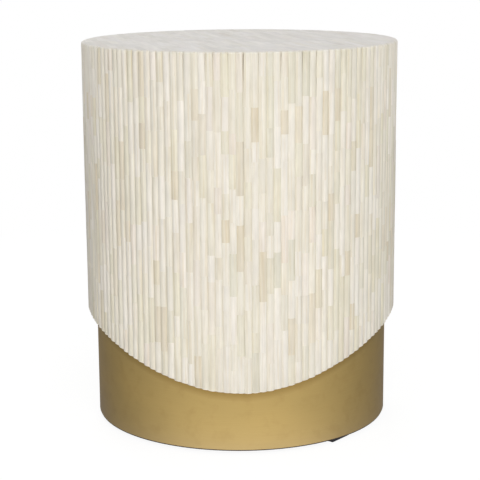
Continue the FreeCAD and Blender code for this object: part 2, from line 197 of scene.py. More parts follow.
class PlinthSettings(bpy.types.PropertyGroup):
    """Sizes and colours of the brass plinth and its pads."""
    sheet: FloatProperty(name="Sheet", description="Thickness of the brass", default=0.001, unit="LENGTH")
    foot_gap: FloatProperty(name="Foot gap", description="How far the brass stops above the base",
                            default=0.0013, unit="LENGTH")
    seam: FloatProperty(name="Seam", description="Gap of the butt seam at the back",
                        default=0.0004, unit="LENGTH")
    edge_round: FloatProperty(name="Edge rounding", description="Rounded edges of the sheet",
                              default=0.0009, unit="LENGTH")
    brass: FloatVectorProperty(name="Brass", description="Colour of the satin brass",
                               subtype="COLOR", size=3, default=(0.53, 0.38, 0.145))
    pad_side: FloatProperty(name="Pad side", description="Side of a square pad",
                            default=0.036, unit="LENGTH")
    pad_turn: FloatProperty(name="Pad turn", description="Turn of the first pad",
                            default=math.radians(-39.0), subtype="ANGLE", unit="ROTATION")
    pad_round: FloatProperty(name="Pad rounding", description="Rounded edges of a pad",
                             default=0.0006, unit="LENGTH")
    rubber: FloatVectorProperty(name="Rubber", description="Colour of the pads", subtype="COLOR", size=3,
                                default=(0.018, 0.017, 0.016))


class StageSettings(bpy.types.PropertyGroup):
    """Camera, light and floor."""
    camera_place: FloatVectorProperty(name="Camera", description="Where the camera stands",
                                      default=(-0.0007, -1.9465, 0.6478),
                                      subtype="TRANSLATION", unit="LENGTH")
    camera_dip: FloatProperty(name="Dip", description="How far the camera looks down",
                              default=math.radians(11.911), subtype="ANGLE", unit="ROTATION")
    camera_roll: FloatProperty(name="Roll", description="Turn of the picture",
                               default=math.radians(-0.387), subtype="ANGLE", unit="ROTATION")
    lens: FloatProperty(name="Lens", description="Focal length on a 36 mm sensor",
                        default=109.05, unit="CAMERA")
    floor_size: FloatProperty(name="Floor", description="Side of the floor", default=60.0, unit="LENGTH")
    floor_colour: FloatVectorProperty(name="Floor colour", description="Colour of the floor",
                                      subtype="COLOR", size=3, default=(0.9, 0.9, 0.9))
    floor_lift: FloatProperty(name="Floor lift", description="Share of plain white in the seen floor",
                              default=0.84, subtype="FACTOR", min=0.0, max=1.0)
    sky: FloatProperty(name="Sky", description="Strength of the light from all round", default=0.10)
    key: FloatProperty(name="Key", description="Power of the front softbox", default=40.5, unit="POWER")
    left: FloatProperty(name="Left", description="Power of the softbox on the left",
                        default=11.7, unit="POWER")
    right: FloatProperty(name="Right", description="Power of the softbox on the right",
                         default=10.8, unit="POWER")
    back: FloatProperty(name="Back", description="Power of the softbox behind", default=34.0, unit="POWER")
    overhead: FloatProperty(name="Overhead", description="Power of the softbox above",
                            default=10.0, unit="POWER")
    bounce: FloatProperty(name="Bounce", description="Power of the low bounce in front",
                          default=0.7, unit="POWER")


# Shader helpers

def plug(tree, socket, value):
    """Link a socket to another, or set its value."""
    if isinstance(value, bpy.types.NodeSocket):
        tree.links.new(value, socket)
    elif socket.type == "RGBA" and len(value) == 3:
        socket.default_value = (*value, 1.0)
    else:
        socket.default_value = value


def add_node(tree, kind, inputs=None, **options):
    """Add a shader node with its options, and fill its inputs by name or number."""
    made = tree.nodes.new(kind)
    for name, value in options.items():
        setattr(made, name, value)
    for key, value in (inputs or {}).items():
        plug(tree, made.inputs[key], value)
    return made


def new_material(name):
    """Start a material; return it, its tree and its surface shader."""
    material = bpy.data.materials.new(name)
    material.use_nodes = True
    tree = material.node_tree
    return material, tree, tree.nodes["Principled BSDF"]


def calc(tree, operation, first, second=0.0):
    """One sum on numbers."""
    return add_node(tree, "ShaderNodeMath", {0: first, 1: second}, operation=operation).outputs[0]


def spread(tree, value, start, end):
    """Carry a value from one range to another, clamped."""
    ranges = {0: value, 1: start[0], 2: start[1], 3: end[0], 4: end[1]}
    return add_node(tree, "ShaderNodeMapRange", ranges).outputs[0]


def blend(tree, how, share, first, second):
    """Mix two colours."""
    inputs = {0: share, 6: first, 7: second}
    return add_node(tree, "ShaderNodeMix", inputs, data_type="RGBA", blend_type=how).outputs[2]


def shade(tree, colour, value):
    """Darken or lighten a colour by a number."""
    grey = add_node(tree, "ShaderNodeCombineColor", {0: value, 1: value, 2: value}).outputs[0]
    return blend(tree, "MULTIPLY", 1.0, colour, grey)


def object_place(tree):
    """Place on the object."""
    return add_node(tree, "ShaderNodeTexCoord").outputs["Object"]


def place_parts(tree):
    """Place on the object as its x, y and z."""
    return add_node(tree, "ShaderNodeSeparateXYZ", {0: object_place(tree)}).outputs


def height_on_object(tree):
    """Height above the floor."""
    return place_parts(tree)[2]


def bearing_on_object(tree, x, y):
    """Bearing round the axis, from the front."""
    return calc(tree, "ARCTAN2", x, calc(tree, "MULTIPLY", y, -1.0))


def distance_from_axis(tree):
    """Distance from the drum's axis."""
    level = {0: object_place(tree), 1: (1.0, 1.0, 0.0)}
    flat = add_node(tree, "ShaderNodeVectorMath", level, operation="MULTIPLY").outputs[0]
    return add_node(tree, "ShaderNodeVectorMath", {0: flat}, operation="LENGTH").outputs["Value"]


def grain_place(tree, size, turn=0.0):
    """Place on the object, measured in grains of the given size after a turn about Z."""
    inputs = {"Vector": object_place(tree), "Rotation": (0.0, 0.0, turn), "Scale": size}
    return add_node(tree, "ShaderNodeMapping", inputs, vector_type="TEXTURE").outputs[0]


def noise(tree, place, detail, seed=None):
    """Soft random value, different for each seed if one is given."""
    inputs = {"Vector": place, "Scale": 1.0, "Detail": detail}
    if seed is None:
        return add_node(tree, "ShaderNodeTexNoise", inputs).outputs[0]
    inputs["W"] = seed
    return add_node(tree, "ShaderNodeTexNoise", inputs, noise_dimensions="4D").outputs[0]


def read_value(tree, name, output):
    """Read a value that is stored on the mesh."""
    return add_node(tree, "ShaderNodeAttribute", attribute_name=name).outputs[output]


def bump(tree, shader, height, strength, depth):
    """Give a shader fine relief."""
    relief = add_node(tree, "ShaderNodeBump", {"Strength": strength, "Distance": depth, "Height": height})
    tree.links.new(relief.outputs[0], shader.inputs["Normal"])


# Materials

# Bone: the fibres' size in the reeds and in the top, and how strongly pores and stains show in each.
REED_FIBRE = (0.0013, 0.0013, 0.04)
STRIP_FIBRE = (0.0013, 0.04, 0.0013)
REED_MARKS = 0.3
STRIP_MARKS = 0.04
SEED_STEP = 60.0
BONE_ROUGHNESS = (0.32, 0.42)
BONE_GLOSS = 0.5
BONE_RELIEF = 0.8
BONE_RELIEF_DEPTH = 0.0002

# Bone: each kind of mark, with its size as a share of the fibres' and what it does to colour and polish.
FIBRE_SHADE = (0.935, 1.035)
FIBRE_DULLING = 0.2
CLOUD_LEAST = 0.008
CLOUD_SHARE = 0.5
CLOUD_SHADE = (0.935, 1.04)
STAIN_SHARE = 2.2
STAIN_RANGE = (0.48, 0.72)
STAIN_STRENGTH = 2.2
STAIN_COLOUR = (0.90, 0.845, 0.74)
PORE_SHARE = 0.35
PORE_RANGE = (0.68, 0.76)
PORE_DEPTH = 2.0
PORE_COLOUR = (0.72, 0.62, 0.48)
# Groove paste and painted groove shade: how far above a groove's bottom the bone is drawn to the paste
# colour, and how strongly.
GROOVE_SHADE_RISE = 0.0010
GROOVE_SHADE_SHARE = (0.15, 0.0)


def bone_material(name, fibre_size, turn, marks, paste_and_groove_shade=None):
    """Polished bone, each piece with its own tint and polish, fibres, clouds, stains and pores."""
    material, tree, shader = new_material(name)
    tint = read_value(tree, "piece_tint", "Color")
    draw = read_value(tree, "piece_seed", "Fac")
    seed = calc(tree, "MULTIPLY", draw, SEED_STEP)

    def grown(size, detail):
        """Noise in grains of the given size, turned with the bone and different in each piece."""
        return noise(tree, grain_place(tree, size, turn), detail, seed)

    fibre = grown(fibre_size, detail=3.0)
    cloud = grown([CLOUD_LEAST + CLOUD_SHARE * length for length in fibre_size], detail=2.0)
    blot = grown([STAIN_SHARE * length for length in fibre_size], detail=1.0)
    speck = grown([PORE_SHARE * length for length in fibre_size], detail=1.0)
    stain = spread(tree, blot, STAIN_RANGE, (0.0, STAIN_STRENGTH * marks))
    pore = spread(tree, speck, PORE_RANGE, UNIT)
    colour = shade(tree, tint, spread(tree, fibre, NOISE_MIDDLE, FIBRE_SHADE))
    colour = shade(tree, colour, spread(tree, cloud, NOISE_MIDDLE, CLOUD_SHADE))
    colour = blend(tree, "MULTIPLY", calc(tree, "MULTIPLY", pore, marks), colour, PORE_COLOUR)
    colour = blend(tree, "MULTIPLY", stain, colour, STAIN_COLOUR)
    # Near the groove bottoms the bone is drawn to the paste colour: partly the paste itself, partly painted
    # shade in the grooves.
    if paste_and_groove_shade:
        groove, paste = paste_and_groove_shade
        depth = spread(tree, distance_from_axis(tree), (groove, groove + GROOVE_SHADE_RISE), GROOVE_SHADE_SHARE)
        colour = blend(tree, "MIX", depth, colour, paste)
    plug(tree, shader.inputs["Base Color"], colour)
    dull = spread(tree, draw, UNIT, BONE_ROUGHNESS)
    uneven = spread(tree, fibre, NOISE_MIDDLE, (-FIBRE_DULLING * marks, FIBRE_DULLING * marks))
    plug(tree, shader.inputs["Roughness"], calc(tree, "ADD", dull, uneven))
    shader.inputs["Specular IOR Level"].default_value = BONE_GLOSS
    height = calc(tree, "SUBTRACT", fibre, calc(tree, "MULTIPLY", pore, PORE_DEPTH * marks))
    bump(tree, shader, height, BONE_RELIEF * marks, BONE_RELIEF_DEPTH)
    return material


# Brass: brush lines by turn and by height, smudges, tarnish, and a painted shadow that darkens the metal by
# distance under the hem.
BRUSH_LINES = (3.0, 1800.0)
BRUSH_DULLING = (-0.04, 0.04)
BRUSH_RELIEF = (0.06, 0.0001)
SMUDGE_SIZE = (0.07, 0.07, 0.05)
SMUDGE_SHADE = (0.95, 1.03)
BRASS_ROUGHNESS = (0.5, 0.56)
TARNISH_SIZE = (0.016, 0.016, 0.016)
TARNISH_RANGE = (0.52, 0.74)
TARNISH_SHARE = (0.0, 0.15)
TARNISH_COLOUR = (0.62, 0.5, 0.36)
# Painted shadow under the hem: how far below the hem it reaches, how strong it is, and its colour.
HEM_SHADOW_RANGE = (0.0035, 0.014)
HEM_SHADOW_SHARE = (0.9, 0.0)
HEM_SHADOW_COLOUR = (0.74, 0.68, 0.58)


def hem_on_object(tree, x, reeds):
    """Height of the hem over a place on the object."""
    t = calc(tree, "MINIMUM", calc(tree, "DIVIDE", calc(tree, "ABSOLUTE", x), DRUM_RADIUS), 1.0)
    slope = calc(tree, "ADD", calc(tree, "MULTIPLY", t, 1.0 - 3 * reeds.hem_ease), 3 * reeds.hem_ease)
    curve = calc(tree, "MULTIPLY", calc(tree, "MULTIPLY", t, t), slope)
    return calc(tree, "ADD", calc(tree, "MULTIPLY", curve, reeds.hem_high - HEM_LOW), HEM_LOW)


def brass_material(name, brass, reeds):
    """Satin brass: faint brush lines round the plinth, soft smudges and tarnish, and a painted shadow close
    under the hem.
    """
    material, tree, shader = new_material(name)
    x, y, z = place_parts(tree)
    around = calc(tree, "MULTIPLY", bearing_on_object(tree, x, y), BRUSH_LINES[0])
    upwards = calc(tree, "MULTIPLY", z, BRUSH_LINES[1])
    lines = add_node(tree, "ShaderNodeCombineXYZ", {0: around, 1: upwards}).outputs[0]
    brush = noise(tree, lines, detail=2.0)
    smudge = noise(tree, grain_place(tree, SMUDGE_SIZE), detail=3.0)
    tarnish = noise(tree, grain_place(tree, TARNISH_SIZE), detail=4.0)
    colour = shade(tree, brass, spread(tree, smudge, NOISE_MIDDLE, SMUDGE_SHADE))
    stain = spread(tree, tarnish, TARNISH_RANGE, TARNISH_SHARE)
    colour = blend(tree, "MULTIPLY", stain, colour, TARNISH_COLOUR)
    # Painted shadow: the metal is darkened close under the hem, where the overhang above shades it.
    below_hem = calc(tree, "SUBTRACT", hem_on_object(tree, x, reeds), z)
    painted_hem_shadow = spread(tree, below_hem, HEM_SHADOW_RANGE, HEM_SHADOW_SHARE)
    colour = blend(tree, "MULTIPLY", painted_hem_shadow, colour, HEM_SHADOW_COLOUR)
    plug(tree, shader.inputs["Base Color"], colour)
    brushed = spread(tree, brush, NOISE_MIDDLE, BRUSH_DULLING)
    smudged = spread(tree, smudge, NOISE_MIDDLE, BRASS_ROUGHNESS)
    plug(tree, shader.inputs["Roughness"], calc(tree, "ADD", brushed, smudged))
    shader.inputs["Metallic"].default_value = 1.0
    bump(tree, shader, brush, *BRUSH_RELIEF)
    return material


# Rubber: the moulded tooth, and dust that lightens and dulls it.
TOOTH_SIZE = (0.0006, 0.0006, 0.0006)
TOOTH_RELIEF = (0.3, 0.0002)
DUST_SIZE = (0.008, 0.008, 0.008)
DUST_RANGE = (0.35, 0.75)
DUST_SHADE = (0.8, 2.2)
RUBBER_ROUGHNESS = (0.68, 0.85)


def rubber_material(name, rubber):
    """Matt moulded rubber with a fine tooth and a little dust."""
    material, tree, shader = new_material(name)
    tooth = noise(tree, grain_place(tree, TOOTH_SIZE), detail=2.0)
    dust = noise(tree, grain_place(tree, DUST_SIZE), detail=3.0)
    plug(tree, shader.inputs["Base Color"], shade(tree, rubber, spread(tree, dust, DUST_RANGE, DUST_SHADE)))
    plug(tree, shader.inputs["Roughness"], spread(tree, dust, NOISE_MIDDLE, RUBBER_ROUGHNESS))
    bump(tree, shader, tooth, *TOOTH_RELIEF)
    return material


# Woods of the carcass: the dark and the light of each one, its grain, and the plies.
BIRCH = ((0.50, 0.35, 0.20), (0.68, 0.53, 0.34))
# Near-black birch is painted shade: it is dark so that the brass mirrors a dark band where the overhang
# above the plinth is in shade.
SHADE_DARK_BIRCH = ((0.03, 0.022, 0.015), (0.06, 0.043, 0.03))
FIBREBOARD = ((0.30, 0.20, 0.12), (0.42, 0.30, 0.19))
SOFTWOOD = ((0.52, 0.36, 0.19), (0.74, 0.58, 0.37))
UPRIGHT_GRAIN = (0.004, 0.004, 0.05)
LEVEL_GRAIN = (0.004, 0.05, 0.004)
FELTED_GRAIN = (0.0012, 0.0012, 0.0012)
BATTEN_GRAIN = (0.003, 0.003, 0.08)
PLY_THICKNESS = 0.0015
PLY_RANGE = (0.35, 0.65)
PLY_SHADE = (0.72, 1.05)
WOOD_ROUGHNESS = (0.6, 0.8)
WOOD_RELIEF = (0.2, 0.0003)


def wood_material(name, wood, grain, ply=None):
    """Raw wood with its grain, or with plies one after another where a ply distance is given."""
    material, tree, shader = new_material(name)
    fibre = noise(tree, grain_place(tree, grain), detail=4.0)
    colour = blend(tree, "MIX", spread(tree, fibre, NOISE_MIDDLE, UNIT), *wood)
    if ply:
        layer = calc(tree, "PINGPONG", calc(tree, "DIVIDE", ply(tree), PLY_THICKNESS), 1.0)
        colour = shade(tree, colour, spread(tree, layer, PLY_RANGE, PLY_SHADE))
    plug(tree, shader.inputs["Base Color"], colour)
    plug(tree, shader.inputs["Roughness"], spread(tree, fibre, NOISE_MIDDLE, WOOD_ROUGHNESS))
    bump(tree, shader, fibre, *WOOD_RELIEF)
    return material


# Bedding paste: its lumps, and the depth from which it covers the shell's outside.
LUMP_SIZE = (0.004, 0.004, 0.004)
LUMP_SHADE = (0.88, 1.08)
SKIM_RANGE = (SEAT_RADIUS - 0.0006, SEAT_RADIUS - 0.0003)


def shell_material(name, paste_and_groove_shade):
    """Bent plywood, skimmed outside with the paste that beds the reeds."""
    # The shell's near-black wood is painted shade under the hem's overhang, which the brass mirrors.
    material = wood_material(name, SHADE_DARK_BIRCH, UPRIGHT_GRAIN, distance_from_axis)
    tree = material.node_tree
    shader = tree.nodes["Principled BSDF"]
    wood = shader.inputs["Base Color"].links[0].from_socket
    lump = noise(tree, grain_place(tree, LUMP_SIZE), detail=3.0)
    paste = shade(tree, paste_and_groove_shade, spread(tree, lump, NOISE_MIDDLE, LUMP_SHADE))
    outside = spread(tree, distance_from_axis(tree), SKIM_RANGE, UNIT)
    plug(tree, shader.inputs["Base Color"], blend(tree, "MIX", outside, wood, paste))
    return material


# Zinc plated steel: its colour, and the clouds in it.
ZINC = (0.62, 0.61, 0.58)
ZINC_CLOUD_SIZE = (0.002, 0.002, 0.002)
ZINC_SHADE = (0.85, 1.05)
ZINC_ROUGHNESS = (0.28, 0.45)


def steel_material(name):
    """Zinc plated steel, a little clouded."""
    material, tree, shader = new_material(name)
    cloud = noise(tree, grain_place(tree, ZINC_CLOUD_SIZE), detail=3.0)
    plug(tree, shader.inputs["Base Color"], shade(tree, ZINC, spread(tree, cloud, NOISE_MIDDLE, ZINC_SHADE)))
    plug(tree, shader.inputs["Roughness"], spread(tree, cloud, NOISE_MIDDLE, ZINC_ROUGHNESS))
    shader.inputs["Metallic"].default_value = 1.0
    return material


# Mesh helpers

def swivel(bm, verts, turn, middle=ORIGIN):
    """Turn corners of a mesh about an upright line."""
    bmesh.ops.rotate(bm, verts=verts, cent=middle, matrix=Matrix.Rotation(turn, 3, "Z"))


def soften(bm):
    """Shade smoothly, with sharp edges kept crisp."""
    for face in bm.faces:
        face.smooth = True
    for edge in bm.edges:
        edge.smooth = edge.calc_face_angle(0.0) < SHARP_ANGLE


def round_edges(bm, edges, radius, segments):
    """Round some edges of a mesh."""
    bmesh.ops.bevel(bm, geom=edges, offset=radius, offset_type="OFFSET", segments=segments, profile=0.5,
                    affect="EDGES", material=-1)


def open_edges(bm):
    """Edges with a face on one side only."""
    return [edge for edge in bm.edges if edge.is_boundary]


def store_mesh(bm, name):
    """Keep a finished shape as a mesh."""
    mesh = bpy.data.meshes.new(name)
    bm.to_mesh(mesh)
    bm.free()
    return mesh


def make_object(bm, name, material):
    """Make an object of a shape that is already in its place."""
    mesh = store_mesh(bm, name)
    mesh.materials.append(material)
    made = bpy.data.objects.new(name, mesh)
    bpy.context.scene.collection.objects.link(made)
    return made


def finish_piece(bm, name, material, slot, *nodes):
    """Make a piece of the table, riding on the frame and standing for its nodes."""
    piece = make_object(bm, name, material)
    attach(piece, BODY)
    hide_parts(*nodes)


# Bone pieces

# How often each colour is picked, how far it is drawn to a second one, and how its lightness varies.
BONE_MIX = {"pale": 31, "cream": 32, "straw": 16, "blush": 8, "grey": 8, "tan": 7}
TINT_DRIFT = (0.0, 0.5)
TINT_LIGHTNESS = (0.97, 1.025)

# Where the first joint of a row comes, as a share of the longest piece.
FIRST_JOINT = (0.4, 1.0)


def tint_layers(bm):
    """Where each face keeps its piece's tint and seed."""
    return bm.faces.layers.float_vector.new("piece_tint"), bm.faces.layers.float.new("piece_seed")


def draw_tint(rng, colours):
    """Pick a piece's colour: one of the bone colours, drawn towards another and made lighter or darker."""
    first, second = rng.choices(list(BONE_MIX), weights=list(BONE_MIX.values()), k=2)
    mixed = Vector(getattr(colours, first)).lerp(Vector(getattr(colours, second)), rng.uniform(*TINT_DRIFT))
    return mixed * rng.uniform(*TINT_LIGHTNESS)


def cut_lengths(rng, low, high, shortest, longest):
    """Places where the pieces of one row meet, from the high end to the low end."""
    places = [high]
    place = high - rng.uniform(*FIRST_JOINT) * longest
    while place > low + shortest:
        places.append(place)
        place -= rng.uniform(shortest, longest)
    return places + [low]


# Bone reeds

# Length of a template, and how far its dome narrows it in width, depth and height.
TEMPLATE_LENGTH = 1.0
DOME_SHARE = (0.10, 0.72, 0.0)

# How far a face at the hem looks down to get the painted highlight of the lip.
LIP_HIGHLIGHT_FACING = -0.2


def hem_height(x, reeds):
    """Height of the hem at a distance from the middle, level there and rising to both sides."""
    t = min(abs(x) / DRUM_RADIUS, 1.0)
    rise = reeds.hem_high - HEM_LOW
    return HEM_LOW + rise * t ** 2 * (3 * reeds.hem_ease + (1 - 3 * reeds.hem_ease) * t)


def draw_up(bm, faces, rise, narrowing=(1.0, 1.0, 1.0)):
    """Draw faces upwards, narrowed towards the reed's seat; return the faces at the new end."""
    drawn = bmesh.ops.extrude_face_region(bm, geom=faces)["geom"]
    corners = [item for item in drawn if isinstance(item, bmesh.types.BMVert)]
    bmesh.ops.translate(bm, verts=corners, vec=(0.0, 0.0, rise))
    bmesh.ops.scale(bm, verts=corners, vec=narrowing, space=Matrix.Translation((0.0, SEAT_RADIUS, 0.0)))
    return [item for item in drawn if isinstance(item, bmesh.types.BMFace)]


def dome_end(bm, end, reeds):
    """Round the whole upper end of a reed over, in depth and a little in width."""
    turns = [QUARTER_TURN * step / DOME_STEPS for step in range(DOME_STEPS + 1)]
    shrunk = [1.0 - math.cos(turn) for turn in turns]
    for step in range(1, DOME_STEPS + 1):
        rise = reeds.rim_round * (math.sin(turns[step]) - math.sin(turns[step - 1]))
        narrowing = [(1.0 - share * shrunk[step]) / (1.0 - share * shrunk[step - 1]) for share in DOME_SHARE]
        end = draw_up(bm, end, rise, narrowing)


def reed_template(reeds, segments, low_round, high_round=None):
    """A half-round bone piece at the front of the drum; with one rounding only, its upper end is domed."""
    shoulder = DRUM_RADIUS - reeds.crown
    seat_depth = shoulder - SEAT_RADIUS
    splay = math.tan(math.pi / reeds.count)
    half_width = shoulder * splay + reeds.lap / 2
    bend = (half_width ** 2 + reeds.crown ** 2) / (2 * reeds.crown)
    sweep = 2 * math.asin(half_width / bend)
    bm = bmesh.new()
    corner = bm.verts.new((half_width, -shoulder, 0.0))
    bmesh.ops.spin(bm, geom=[corner], cent=(0.0, bend - DRUM_RADIUS, 0.0), axis=UPWARDS, angle=-sweep,
                   steps=reeds.facets)
    ends = [vert for vert in bm.verts if len(vert.link_edges) == 1]
    seated = bmesh.ops.extrude_vert_indiv(bm, verts=ends)["verts"]
    for vert in seated:
        vert.co += Vector((-math.copysign(seat_depth * splay, vert.co.x), seat_depth, 0.0))
    bm.edges.new(seated)
    outline = bmesh.ops.contextual_create(bm, geom=bm.edges[:])["faces"]
    roundings = {0.0: low_round}
    if high_round is None:
        dome_end(bm, draw_up(bm, outline, TEMPLATE_LENGTH - reeds.rim_round), reeds)
    else:
        draw_up(bm, outline, TEMPLATE_LENGTH)
        roundings[TEMPLATE_LENGTH] = high_round
    bmesh.ops.recalc_face_normals(bm, faces=bm.faces[:])
    for level, radius in roundings.items():
        at_end = {vert for vert in bm.verts
                  if abs(vert.co.z - level) < TOUCH and vert.co.y < TOUCH - shoulder}
        rounded = [edge for edge in bm.edges if at_end.issuperset(edge.verts)]
        round_edges(bm, rounded, radius, segments)
    soften(bm)
    return store_mesh(bm, "reed_template")


def lay_piece(bm, template, low, high, lift, tip, low_bearing, high_bearing):
    """Add a bone piece between two heights, lifted and tipped a little, each end turned to its bearing."""
    vert_count, face_count = len(bm.verts), len(bm.faces)
    bm.from_mesh(template)
    bm.verts.ensure_lookup_table()
    bm.faces.ensure_lookup_table()
    verts, faces = bm.verts[vert_count:], bm.faces[face_count:]
    swivel(bm, verts, tip, middle=(0.0, -SEAT_RADIUS, 0.0))
    foot = [vert for vert in verts if vert.co.z < TEMPLATE_LENGTH / 2]
    head = [vert for vert in verts if vert.co.z >= TEMPLATE_LENGTH / 2]
    for end, rise, bearing in ((foot, low, low_bearing), (head, high - TEMPLATE_LENGTH, high_bearing)):
        bmesh.ops.translate(bm, verts=end, vec=(0.0, -lift, rise))
        swivel(bm, end, bearing)
    return foot, faces


def lay_reed(bm, layers, templates, reeds, colours, rng, bearing):
    """Lay one reed of several bone pieces from the rim of the top down to the hem."""
    tint_layer, seed_layer = layers
    hem = hem_height(DRUM_RADIUS * math.sin(bearing), reeds)
    places = cut_lengths(rng, hem, TABLE_TOP, reeds.shortest, reeds.longest)
    last = len(places) - 2
    sway = reeds.sway / DRUM_RADIUS
    bearing += rng.uniform(-sway, sway)
    for index, (high, low) in enumerate(zip(places, places[1:])):
        role = "rim" if index == 0 else "hem" if index == last else "inner"
        lift = rng.uniform(-reeds.wander, 0.0)
        tip = rng.uniform(-reeds.tip, reeds.tip)
        low_bearing = bearing + rng.uniform(-sway, sway)
        high_bearing = bearing + rng.uniform(-sway, sway)
        top = high - (reeds.rim_drop if role == "rim" else reeds.joint)
        foot, faces = lay_piece(bm, templates[role], low, top, lift, tip, low_bearing, high_bearing)
        if role == "hem":
            uneven = rng.uniform(0.0, 2 * reeds.wander)
            for vert in foot:
                vert.co.z += (hem_height(vert.co.x, reeds) - hem) * (1.0 - reeds.hem_step) + uneven
        tint = draw_tint(rng, colours)
        seed = rng.random()
        for face in faces:
            face[tint_layer] = tint
            face[seed_layer] = seed
            # Painted highlight: faces along the hem that look down take the pale lip colour.
            if role == "hem" and face.normal.z < LIP_HIGHLIGHT_FACING:
                face[tint_layer] = Vector(colours.lip_highlight)
            # Painted highlight: the rim's faces are drawn towards a paler colour the more they face up.
            elif role == "rim" and face.normal.z > 0.0:
                face[tint_layer] = tint.lerp(Vector(colours.rim_highlight), face.normal.z)


class SIDETABLE_OT_lay_reeds(bpy.types.Operator):
    """Clad the drum in half-round bone pieces laid end to end"""
    bl_idname = "side_table.lay_reeds"
    bl_label = "Lay Bone Reeds"

    def execute(self, context):
        reeds, colours = context.scene.side_table_reeds, context.scene.side_table_bone
        rng = random.Random(reeds.seed)
        paste_and_groove_shade = (DRUM_RADIUS - reeds.crown, tuple(colours.paste_and_groove_shade))
        bone = bone_material("bone_reeds", REED_FIBRE, 0.0, REED_MARKS, paste_and_groove_shade)
        templates = {
            "rim": reed_template(reeds, 1, reeds.end_round),
            "inner": reed_template(reeds, 1, reeds.end_round, reeds.end_round),
            "hem": reed_template(reeds, ROUND_STEPS, reeds.hem_round, reeds.end_round),
        }
        step = FULL_TURN / reeds.count
        for number, side in enumerate(REED_SIDES):
            bm = bmesh.new()
            layers = tint_layers(bm)
            for index in range(reeds.count):
                bearing = index * step
                if int((bearing + QUARTER_TURN / 2) // QUARTER_TURN) % len(REED_SIDES) == number:
                    lay_reed(bm, layers, templates, reeds, colours, rng, bearing)
            finish_piece(bm, f"bone_reeds_{side}", bone, "bone_reeds", f"reeds_{side}")
        for mesh in templates.values():
            bpy.data.meshes.remove(mesh)
        return {"FINISHED"}


# Table top

# Depth of a joint, as a share of its width.
JOINT_DEPTH = 0.25


def row_geometry(bm, low, high):
    """Faces of one row of the top, with their edges and corners."""
    faces = [face for face in bm.faces if low < face.calc_center_median().x < high]
    edges = {edge for face in faces for edge in face.edges}
    verts = {vert for face in faces for vert in face.verts}
    return [*faces, *edges, *verts]


def cut_pieces(bm, top, rng):
    """Cut a disc into rows from front to back, and each row into pieces."""
    rows = math.floor(SEAT_RADIUS / top.pitch + 0.5)
    borders = [(row - 0.5) * top.pitch for row in range(-rows, rows + 2)]
    for place in borders[1:-1]:
        bmesh.ops.bisect_plane(bm, geom=[*bm.verts, *bm.edges, *bm.faces], plane_co=(place, 0.0, 0.0),
                               plane_no=(1.0, 0.0, 0.0))
    for low, high in zip(borders, borders[1:]):
        inner = min(abs(low), abs(high))
        reach = math.sqrt(max(SEAT_RADIUS ** 2 - inner ** 2, 0.0))
        for place in cut_lengths(rng, -reach, reach, top.shortest, top.longest)[1:-1]:
            bmesh.ops.bisect_plane(bm, geom=row_geometry(bm, low, high), plane_co=(0.0, place, 0.0),
                                   plane_no=(0.0, 1.0, 0.0))


class SIDETABLE_OT_lay_top(bpy.types.Operator):
    """Cover the top with flat bone strips in rows, each row of several pieces"""
    bl_idname = "side_table.lay_top"
    bl_label = "Lay Bone Top"

    def execute(self, context):
        top, colours = context.scene.side_table_top, context.scene.side_table_bone
        rng = random.Random(top.seed)
        bm = bmesh.new()
        tint_layer, seed_layer = tint_layers(bm)
        steps = TOP_STEPS_PER_REED * context.scene.side_table_reeds.count
        bmesh.ops.create_circle(bm, cap_ends=True, segments=steps, radius=SEAT_RADIUS)
        cut_pieces(bm, top, rng)
        for face in bm.faces:
            tint = draw_tint(rng, colours).lerp(Vector(top.bleached), top.bleach)
            face[tint_layer] = tint * (1.0 + rng.uniform(-top.unevenness, top.unevenness))
            face[seed_layer] = rng.random()
        depth = JOINT_DEPTH * top.joint
        bmesh.ops.inset_individual(bm, faces=bm.faces[:], thickness=top.joint / 2, depth=depth,
                                   use_even_offset=True)
        walls = bmesh.ops.extrude_edge_only(bm, edges=open_edges(bm))["geom"]
        foot = [item for item in walls if isinstance(item, bmesh.types.BMVert)]
        bmesh.ops.translate(bm, verts=foot, vec=(0.0, 0.0, STRIP_BOTTOM - TABLE_TOP + depth))
        underside = bmesh.ops.holes_fill(bm, edges=open_edges(bm), sides=0)["faces"]
        for face in underside:
            face[tint_layer] = Vector(colours.cream)
        bmesh.ops.recalc_face_normals(bm, faces=bm.faces[:])
        bmesh.ops.translate(bm, verts=bm.verts[:], vec=(0.0, 0.0, TABLE_TOP - depth))
        swivel(bm, bm.verts[:], top.turn)
        bone = bone_material("bone_top", STRIP_FIBRE, top.turn, STRIP_MARKS)
        finish_piece(bm, "bone_top", bone, "bone_top", "top_strips")
        return {"FINISHED"}


# Brass plinth and pads

